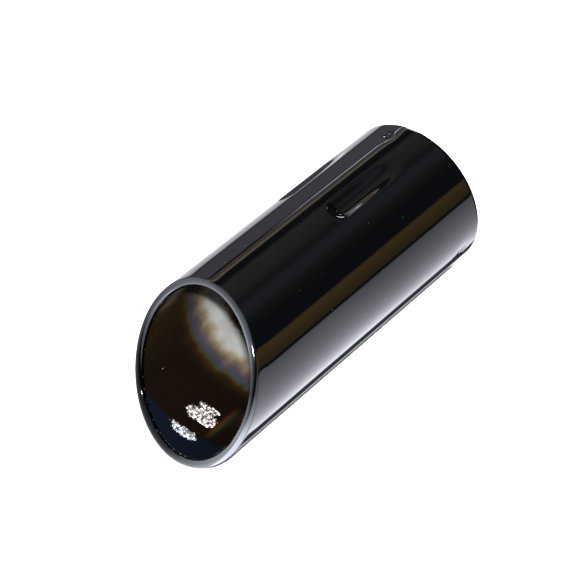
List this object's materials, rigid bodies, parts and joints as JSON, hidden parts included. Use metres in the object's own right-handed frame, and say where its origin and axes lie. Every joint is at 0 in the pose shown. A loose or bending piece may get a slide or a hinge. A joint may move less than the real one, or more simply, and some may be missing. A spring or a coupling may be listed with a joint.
{
  "type": "exhaust tip",
  "caption": "Slash-cut round exhaust tip in black chrome: rolled lip, pressed guide grooves and inner spring clips that grip the tailpipe.",
  "frame": {"origin": "on the tube axis, in the middle of the three grip pads", "axes": "+Y along the tube towards the inlet, mouth towards -Y, +Z through the short side of the slanted mouth"},
  "size_m": [0.0762, 0.1828, 0.0762],
  "materials": {
    "shell": "black chrome mirror plating outside and in the mouth, fading to bare bright steel inside",
    "spring_steel": "rolled spring steel",
    "weld": "rough bright weld metal"
  },
  "bodies": {
    "shell": {"outer_shell": "shell", "tack_weld_front": "weld", "tack_weld_rear": "weld", "clip_base_top": "spring_steel", "clip_base_right": "spring_steel", "clip_base_left": "spring_steel", "spot_weld_top": "weld", "spot_weld_right": "weld", "spot_weld_left": "weld"},
    "leaf_top": {"clip_leaf_top": "spring_steel"},
    "leaf_right": {"clip_leaf_right": "spring_steel"},
    "leaf_left": {"clip_leaf_left": "spring_steel"}
  },
  "joints": [
    {"name": "leaf_top_flex", "type": "hinge", "parent": "shell", "child": "leaf_top", "pos_m": [0, 0.03485, 0.03615], "axis": [-1, 0, 0], "range_deg": [0, 6.5], "stiffness_Nm_per_rad": 4},
    {"name": "leaf_right_flex", "type": "hinge", "parent": "shell", "child": "leaf_right", "pos_m": [0.03131, 0.03485, -0.01808], "axis": [0.5, 0, 0.866], "range_deg": [0, 6.5], "stiffness_Nm_per_rad": 4},
    {"name": "leaf_left_flex", "type": "hinge", "parent": "shell", "child": "leaf_left", "pos_m": [-0.03131, 0.03485, -0.01808], "axis": [0.5, 0, -0.866], "range_deg": [0, 6.5], "stiffness_Nm_per_rad": 4}
  ]
}
